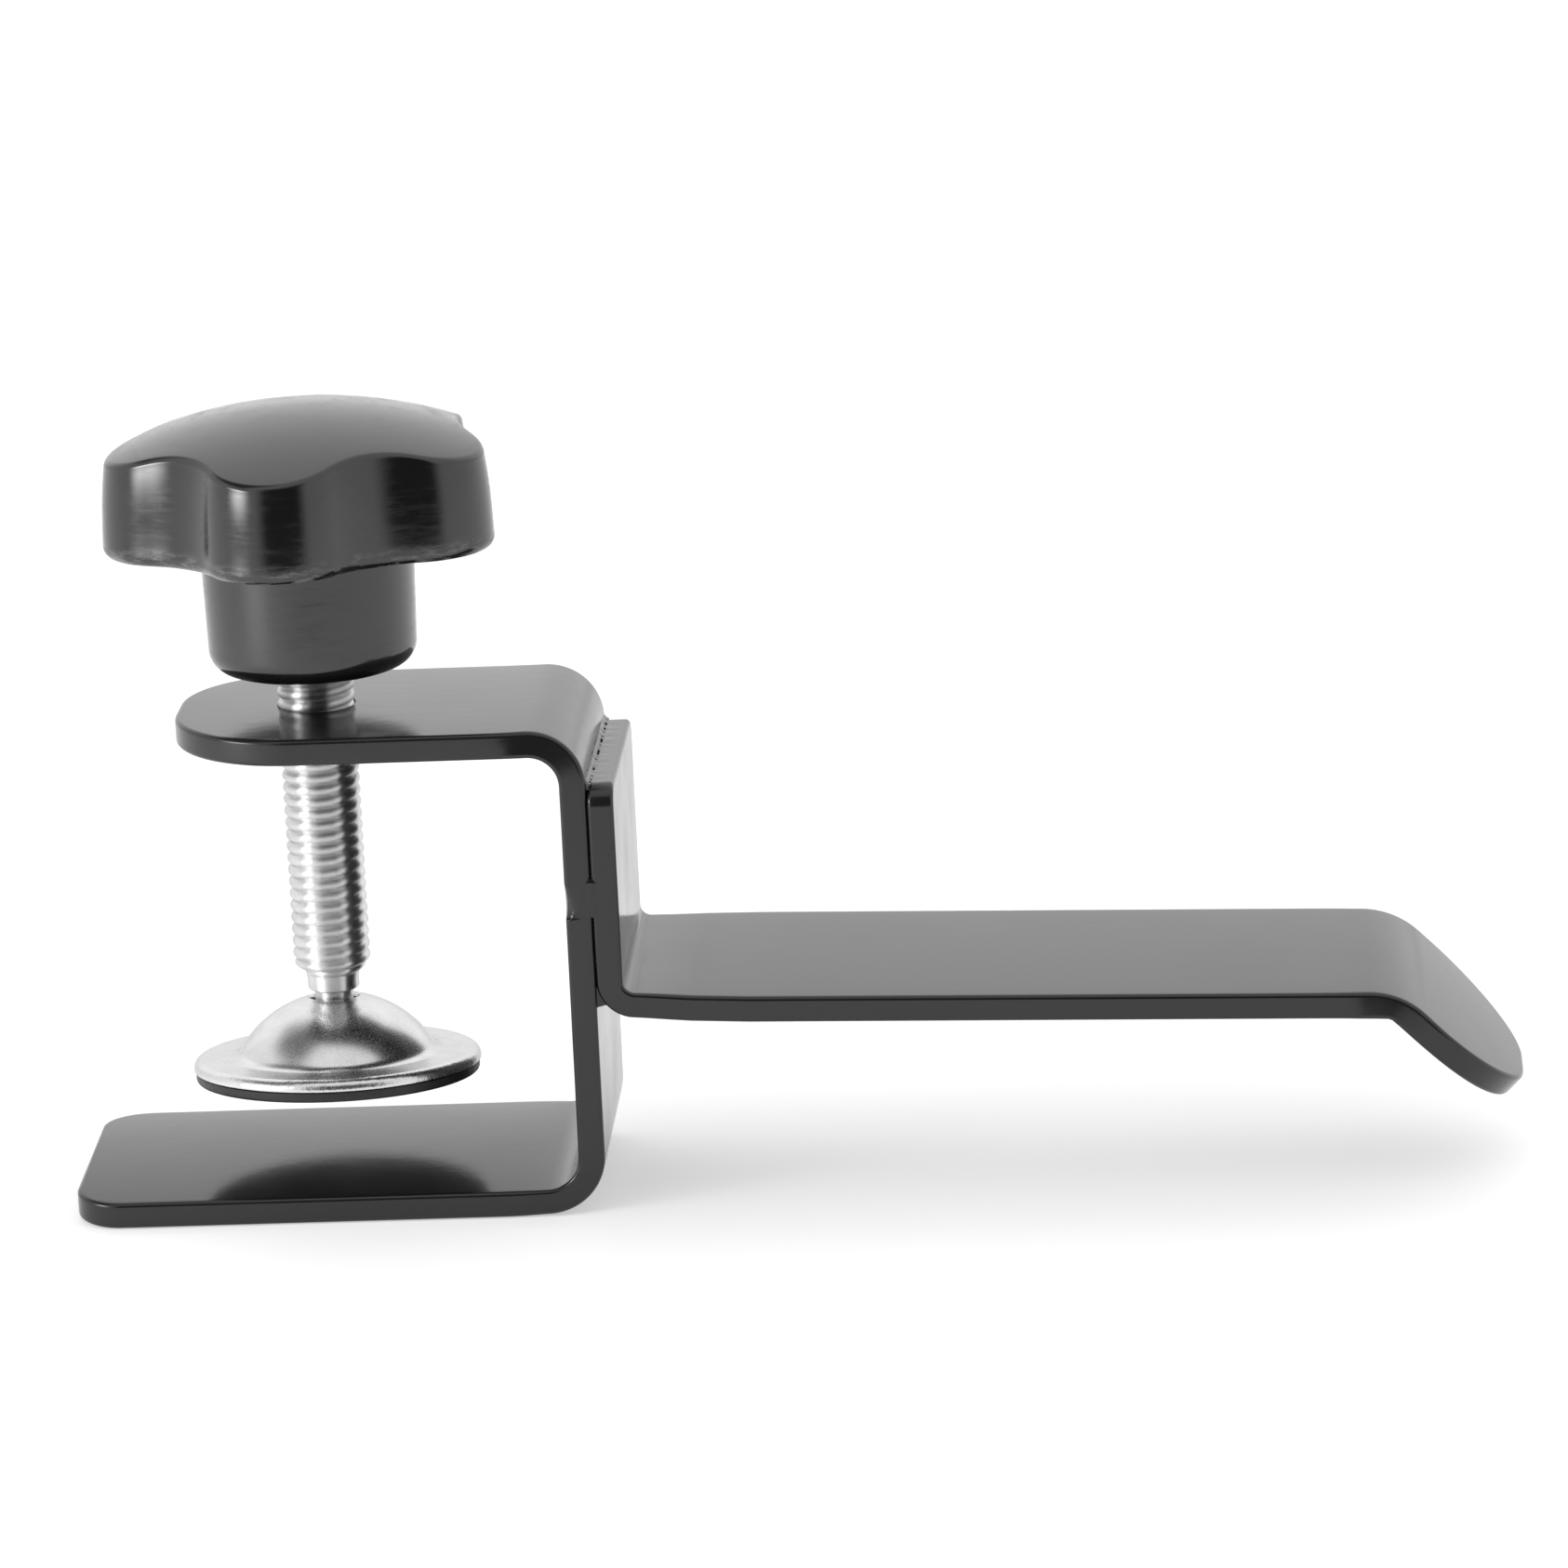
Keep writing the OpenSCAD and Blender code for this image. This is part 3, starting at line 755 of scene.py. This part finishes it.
def threadMesh():
    look = screwLook
    depth, spokes, form = look["crest"] - look["root"], look["spokes"], look["formSteps"]
    swell = [1 - abs(2 * k / form - 1) ** look["formPower"] for k in range(form)]
    fadeLow = 2 * look["taperEnd"] - look["threadEnd"] + look["runOutShift"]
    fadeHigh = look["threadEnd"] + look["runOutShift"]
    rows = look["turns"] * form
    points, faces = [], []
    for j in range(spokes):
        a = 2 * math.pi * j / spokes
        for k in range(rows + 1):
            z = look["low"] + look["pitch"] * (k // form + k % form / form + j / spokes)
            r = look["root"] + depth * swell[k % form]
            f = fadeStep(z, fadeLow, fadeHigh)  # runs out on the lead-in taper, inside the collar
            r -= look["runOut"] * (look["crest"] - look["collar"]) * (1 - f)
            r = max(r, look["neck"] - look["inside"])
            points.append((r * math.cos(a), r * math.sin(a), z))
    column = rows + 1
    for j in range(spokes - 1):
        for k in range(rows):
            a, b = j * column + k, (j + 1) * column + k
            faces.append((a, b, b + 1, a + 1))
    last = (spokes - 1) * column
    for k in range(rows - form):  # the last spoke meets the first one a pitch higher
        faces.append((last + k, k + form, k + form + 1, last + k + 1))
    lowLoop = list(range(form, -1, -1)) + [j * column for j in range(1, spokes)]
    highLoop = [last + k for k in range(rows - form, rows + 1)]
    highLoop += [j * column + rows for j in range(spokes - 2, -1, -1)]
    for loop in (lowLoop, highLoop):
        centre = len(points)
        points.append((0, 0, sum(points[v][2] for v in loop) / len(loop)))
        faces += [(centre, v, w) for v, w in zip(loop, loop[1:] + loop[:1])]
    return points, faces


def screwEndProfile():
    look = screwLook
    neck, collar, small = look["neck"], look["collar"], look["collarRound"]
    collarEnd, taperEnd = look["collarEnd"], look["taperEnd"]
    peen, peenEnd, blunt = look["peen"], look["peenEnd"], look["peenRound"]
    profile = [(0.01, peenEnd), (peen - blunt - 0.1, peenEnd)]
    profile += arcPoints(peen - blunt, peenEnd + blunt, blunt, -90, 0, 6)
    profile += [(peen, look["washer"]), (neck, look["washer"]), (neck, collarEnd - small)]
    profile += arcPoints(neck + small, collarEnd - small, small, 180, 90, 4)
    profile += arcPoints(collar - small, collarEnd + small, small, -90, 0, 5)
    flare, flareRise = look["collarFlare"]
    profile += [(collar, taperEnd), (collar + flare, taperEnd + flareRise)]
    profile += [(0.01, taperEnd + look["collarTop"])]
    return profile


threadPoints, threadFaces = threadMesh()
endPoints, endFaces = latheMesh(screwEndProfile(), screwLook["spokes"])
threadFaces += [tuple(v + len(threadPoints) for v in f) for f in endFaces]
addPiece("clampScrewThread", threadPoints + endPoints, threadFaces, "screw", "clamp_screw",
         threadZinc, "zinc_plate", 50)
print("screw threaded")


knobLook = {
    "lobes": 5, "reach": 20.0, "lobe": 7.1, "valleyDepth": 4.0, "turn": -95,
    "underside": 64.6, "draft": 0.6, "footRadius": 1.1,
    "wallBow": 0.36, "wallRows": (0.12, 0.25, 0.38, 0.5, 0.6, 0.7, 0.8, 0.88, 0.95),
    "crown": 78.8, "crownRadius": 48, "crownRows": 16, "lipRadius": 0.55,
    "hubLow": 51.7, "hubRadius": 10.6, "hubDraft": 0.25, "hubEdge": 2.4, "hubRoot": 0.5,
    "bore": 4.0, "boreDepth": 4, "boreEdge": 0.3,
    "lobeSteps": 26, "valleySteps": 18,
}


def starOutline():
    # points and outward normals of the rim, lobe tips and valleys as arcs
    look = knobLook
    lobe, lobeSteps, valleySteps = look["lobe"], look["lobeSteps"], look["valleySteps"]
    lobeCentre = look["reach"] - lobe
    valley = look["reach"] - look["valleyDepth"]
    half = math.pi / look["lobes"]
    hollow = ((lobeCentre ** 2 + valley ** 2 - lobe ** 2 - 2 * lobeCentre * valley * math.cos(half))
              / (2 * (lobeCentre * math.cos(half) + lobe - valley)))
    far = valley + hollow
    sweep = math.atan2(far * math.sin(half), far * math.cos(half) - lobeCentre)
    outline = []

    def addPoint(centre, centreAngle, radius, a):
        x = centre * math.cos(centreAngle) + radius * math.cos(a)
        y = centre * math.sin(centreAngle) + radius * math.sin(a)
        outline.append((x, y, math.cos(a), math.sin(a)))

    for i in range(look["lobes"]):
        axis = 2 * i * half + math.radians(look["turn"])
        for k in range(lobeSteps):
            addPoint(lobeCentre, axis, lobe, axis + sweep * (2 * k / lobeSteps - 1))
        for k in range(valleySteps):
            a = axis + half + (sweep - half) * (1 - 2 * k / valleySteps)
            addPoint(far, axis + half, -hollow, a)
    return outline


def crownHeight(x, y):
    radius = knobLook["crownRadius"]
    return knobLook["crown"] - radius + math.sqrt(radius ** 2 - x * x - y * y)


def knobMesh():
    look = knobLook
    outline = starOutline()
    points = []

    def addCircle(radius, z):
        for x, y, nx, ny in outline:
            a = math.atan2(y, x)
            points.append((radius * math.cos(a), radius * math.sin(a), z))

    def addStar(grow, height, share=1):
        for x, y, nx, ny in outline:
            px, py = (x + nx * grow) * share, (y + ny * grow) * share
            points.append((px, py, height(px, py)))

    low, hub, edge = look["hubLow"], look["hubRadius"], look["hubEdge"]
    draft, foot, lip = look["draft"], look["footRadius"], look["lipRadius"]
    wallLow, hubTop, root = look["underside"] + foot, look["underside"], look["hubRoot"]
    addCircle(0.02, low + look["boreDepth"])
    addCircle(look["bore"], low + look["boreDepth"])
    addCircle(look["bore"], low + look["boreEdge"])
    addCircle(look["bore"] + look["boreEdge"], low)
    for r, z in arcPoints(hub - edge, low + edge, edge, -90, 0, 14):
        addCircle(r, z)
    for f in (0.25, 0.5, 0.75):
        addCircle(hub + look["hubDraft"] * f, low + edge + (hubTop - low - edge) * f)
    for r, z in arcPoints(hub + look["hubDraft"] + root, hubTop - root, root, 180, 90, 5):
        addCircle(r, z)
    for a in range(-90, 1, 9):
        rad = math.radians(a)
        addStar(draft - foot + foot * math.cos(rad), lambda x, y: wallLow + foot * math.sin(rad))
    for f in look["wallRows"]:
        addStar(draft * (1 - f) + look["wallBow"] * (f - f ** 3),
                lambda x, y: wallLow + (crownHeight(x, y) - lip - wallLow) * f)
    for a in range(0, 91, 9):
        rad = math.radians(a)
        addStar(-lip + lip * math.cos(rad),
                lambda x, y: crownHeight(x, y) - lip + lip * math.sin(rad))
    for k in range(1, look["crownRows"] + 1):
        addStar(-lip, crownHeight, max(0.002, 1 - k / look["crownRows"]))
    return points, rodFaces(len(points) // len(outline), len(outline))


addPiece("starKnob", *knobMesh(), "screw", "star_knob", knobPlastic, "black_moulding", 60)
print("knob moulded")


footLook = {
    "tilt": -4.5, "pivotZ": 16.296, "pivotH": 7.72, "steps": 128,
    "dome": 11.8, "domeCentre": -3.3, "sheet": 1.0, "hole": 2.5, "holeEdge": 0.2, "holeBurr": 0.15,
    "flange": 14.8, "flangeDip": 0.04, "flare": 1.5, "rim": 0.95, "lip": 1.1, "lipRound": 0.15,
    "lipWidth": 0.5,
    "pad": 14.6, "padTop": 1.3, "padEdge": 14.25, "padRound": 0.35, "padUnder": 2.2,
}
footPlace = (Matrix.Translation((0, 0, footLook["pivotZ"]))
             @ Matrix.Rotation(math.radians(footLook["tilt"]), 4, "X")
             @ Matrix.Translation((0, 0, -footLook["pivotH"])))


def footPoints(points):
    return [tuple(footPlace @ Vector(p)) for p in points]


def cupProfile():
    look = footLook
    dome, cz, sheet, base = look["dome"], look["domeCentre"], look["sheet"], look["padTop"]
    flare, hole, flange, rim = look["flare"], look["hole"], look["flange"], look["rim"]
    lip, small, burr = look["lip"], look["lipRound"], look["holeBurr"]
    top = base + sheet
    flareZ = top + flare
    flareX = math.sqrt((dome + flare) ** 2 - (flareZ - cz) ** 2)
    joinA = math.degrees(math.atan2(flareZ - cz, flareX))
    holeA = math.degrees(math.acos((hole + look["holeEdge"]) / dome))
    profile = arcPoints(0, cz, dome, holeA, joinA, 22)
    profile += arcPoints(flareX, flareZ, flare, joinA + 180, 270, 8)[1:]
    for f in (0.25, 0.5, 0.75):
        profile.append((flareX + (flange - rim - flareX) * f,
                        top - look["flangeDip"] * math.sin(math.pi * f)))
    profile += arcPoints(flange - rim, top - rim, rim, 90, 0, 14)
    profile += arcPoints(flange - small, lip + small, small, 0, -90, 4)
    profile += [(flange - look["lipWidth"], lip), (flange - look["lipWidth"] - 0.1, base)]
    inner = dome - sheet
    innerBase = math.degrees(math.asin((base - cz) / inner))
    innerHole = math.degrees(math.acos((hole + burr) / inner))
    profile += arcPoints(0, cz, inner, innerBase, innerHole, 18)
    profile += [(hole, cz + inner * math.sin(math.radians(innerHole)) + burr)]
    profile += [(hole, cz + dome * math.sin(math.radians(holeA)) - look["holeEdge"])]
    return profile


def padProfile():
    look = footLook
    pad, small, lip, edge = look["pad"], look["padRound"], look["lip"], look["padEdge"]
    profile = [(0.02, 0), (pad - look["padUnder"], 0), (pad - small - 0.05, 0)]
    profile += arcPoints(pad - small, small, small, -90, 0, 6)
    profile += [(pad, lip - 0.12), (edge, lip), (edge - 0.05, look["padTop"])]
    return profile + [(0.02, look["padTop"])]


cupRing = cupProfile()
cupPoints, cupFaces = latheMesh(cupRing, footLook["steps"])
closeLathe(cupFaces, len(cupRing), footLook["steps"])
addPiece("swivelCup", footPoints(cupPoints), cupFaces, "foot", "swivel_cup",
         cupZinc, "zinc_plate", 50)
padPoints, padFaces = latheMesh(padProfile(), footLook["steps"])
addPiece("gripPad", footPoints(padPoints), padFaces, "foot", "grip_pad",
         padRubber, "black_rubber", 50)
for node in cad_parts.values():  # the washer inside the cup stays as it is
    if node.name.startswith("retaining_washer"):
        node.data.materials.clear()
        node.data.materials.append(threadZinc)
print("foot spun")


studioLook = {
    "floorZ": -3.1, "floorX": (-1.4, 1.6), "floorY": (-0.33, 2.4),
    "white": 0.86, "floorRough": 0.9, "floorGlow": 0.46, "fill": 0.85,
    # the tent's dark places: turns from straight in front, half widths and heights
    "openingTurn": 0.2, "openingHalf": (0.38, 0.76), "openingTop": (0.6, 0.86),
    "openingDark": 0.96,
    "gapTurn": -1.65, "gapHalf": (0.5, 0.95), "gapHeight": 0.85, "gapSpan": (0.1, 0.28),
    "gapDark": 0.85,
}


def lookRays(tree):
    # rays that look at a surface, straight or by a reflection, and those from the camera alone
    paths = tree.nodes.new("ShaderNodeLightPath").outputs
    look = mathNode(tree, "MAXIMUM", paths["Is Camera Ray"], paths["Is Glossy Ray"])
    return mathNode(tree, "MAXIMUM", look, paths["Is Transmission Ray"]), paths["Is Camera Ray"]


def layFloor():
    (westX, eastX), (southY, northY) = studioLook["floorX"], studioLook["floorY"]
    corners = ((westX, southY), (eastX, southY), (eastX, northY), (westX, northY))
    floorZ = studioLook["floorZ"] * mm
    floorMesh = bpy.data.meshes.new("floorPaper")
    floorMesh.from_pydata([(x, y, floorZ) for x, y in corners], [], [(0, 1, 2, 3)])
    floor = bpy.data.objects.new("floorPaper", floorMesh)
    bpy.context.scene.collection.objects.link(floor)
    floorPaper, tree, shader = newFinish("floorPaper")
    shader.inputs["Base Color"].default_value = (*[studioLook["white"]] * 3, 1)
    shader.inputs["Roughness"].default_value = studioLook["floorRough"]
    shader.inputs["Specular IOR Level"].default_value = 0.0
    shader.inputs["Emission Color"].default_value = (1, 1, 1, 1)
    glow = mathNode(tree, "MULTIPLY", lookRays(tree)[0], studioLook["floorGlow"])
    tree.links.new(glow, shader.inputs["Emission Strength"])
    floorMesh.materials.append(floorPaper)


def hangTent():
    # white all round, open and dark in front, with a dark gap high on the left
    look = studioLook
    world = bpy.data.worlds.new("whiteTent")
    bpy.context.scene.world = world
    world.use_nodes = True
    tree = world.node_tree
    sky = tree.nodes["Background"]
    sky.inputs["Color"].default_value = (1, 1, 1, 1)
    heading = splitAxes(tree, tree.nodes.new("ShaderNodeTexCoord").outputs["Generated"])
    southward = mathNode(tree, "MULTIPLY", heading["Y"], -1)
    turned = mathNode(tree, "ARCTAN2", heading["X"], southward)

    def darkPlace(turn, half, dark):
        away = mathNode(tree, "ABSOLUTE", mathNode(tree, "SUBTRACT", turned, turn))
        return remapNode(tree, away, *half, dark, 0, True)

    opening = darkPlace(look["openingTurn"], look["openingHalf"], look["openingDark"])
    below = remapNode(tree, heading["Z"], *look["openingTop"], 1, 0, True)
    opening = mathNode(tree, "MULTIPLY", opening, below)
    gap = darkPlace(look["gapTurn"], look["gapHalf"], look["gapDark"])
    raised = mathNode(tree, "ABSOLUTE", mathNode(tree, "SUBTRACT", heading["Z"], look["gapHeight"]))
    gap = mathNode(tree, "MULTIPLY", gap, remapNode(tree, raised, *look["gapSpan"], 1, 0, True))
    opening = mathNode(tree, "MAXIMUM", opening, gap)
    looked, fromCamera = lookRays(tree)
    opening = mathNode(tree, "MULTIPLY", opening, mathNode(tree, "SUBTRACT", 1, fromCamera))
    level = remapNode(tree, looked, 0, 1, look["fill"], 1.0)
    level = mathNode(tree, "MULTIPLY", level, mathNode(tree, "SUBTRACT", 1, opening))
    tree.links.new(level, sky.inputs["Strength"])


layFloor()
hangTent()

lampLook = {
    "backPanel": {"place": (0.05, 0.9, 0.75), "size": (2.4, 1.6), "power": 3.0},
    "leftBox": {"place": (-0.22, -0.16, 0.1), "size": (0.2, 0.12), "power": 0.95, "soft": 0.5},
    "leftLowBox": {"place": (-0.22, -0.16, 0.012), "size": (0.2, 0.03), "power": 0.1, "soft": 0.5},
}
lampTarget = Vector((0.03, 0, 0.03))


def softenEdges(light, soft):
    # a box that fades towards its edges
    light.use_nodes = True
    tree = light.node_tree
    place = splitAxes(tree, tree.nodes.new("ShaderNodeNewGeometry").outputs["Parametric"])
    fades = []
    for axis in ("X", "Y"):
        away = mathNode(tree, "ABSOLUTE", mathNode(tree, "SUBTRACT", place[axis], 0.5))
        fades.append(remapNode(tree, away, 0.5 - soft, 0.5, 1, 0, True))
    fade = mathNode(tree, "MULTIPLY", *fades)
    tree.links.new(fade, tree.nodes["Emission"].inputs["Strength"])


for name, lamp in lampLook.items():
    light = bpy.data.lights.new(name, "AREA")
    light.shape = "RECTANGLE"
    light.size, light.size_y = lamp["size"]
    light.energy = lamp["power"]
    if "soft" in lamp:
        softenEdges(light, lamp["soft"])
    box = bpy.data.objects.new(name, light)
    box.location = lamp["place"]
    aim = lampTarget - Vector(lamp["place"])
    box.rotation_euler = aim.to_track_quat("-Z", "Y").to_euler()
    bpy.context.scene.collection.objects.link(box)

cameraLook = {
    "frame": 1686, "focal": 8053.2, "sensor": 36, "clip": (0.05, 20),
    "yaw": 0.054, "pitch": 0.249, "roll": -0.0458,
    "target": (47.2647, 0, 37.6394), "distance": 763.064,
}


def placeCamera():
    look = cameraLook
    yaw, pitch, roll = look["yaw"], look["pitch"], look["roll"]
    right = Vector((math.cos(yaw), math.sin(yaw), 0))
    ahead = Vector((-math.sin(yaw) * math.cos(pitch), math.cos(yaw) * math.cos(pitch),
                    -math.sin(pitch)))
    up = right.cross(ahead)
    side = math.cos(roll) * right + math.sin(roll) * up
    top = -math.sin(roll) * right + math.cos(roll) * up
    turn = Matrix((side, top, -ahead)).transposed().to_4x4()
    camera = bpy.data.objects.new("photoCamera", bpy.data.cameras.new("photoCamera"))
    camera.data.sensor_width = look["sensor"]
    camera.data.lens = look["focal"] / look["frame"] * look["sensor"]
    camera.data.clip_start, camera.data.clip_end = look["clip"]
    place = (Vector(look["target"]) - ahead * look["distance"]) * mm
    camera.matrix_world = Matrix.Translation(place) @ turn
    bpy.context.scene.collection.objects.link(camera)
    bpy.context.scene.camera = camera


placeCamera()
bpy.context.scene.view_settings.view_transform = "Standard"
print("studio set")
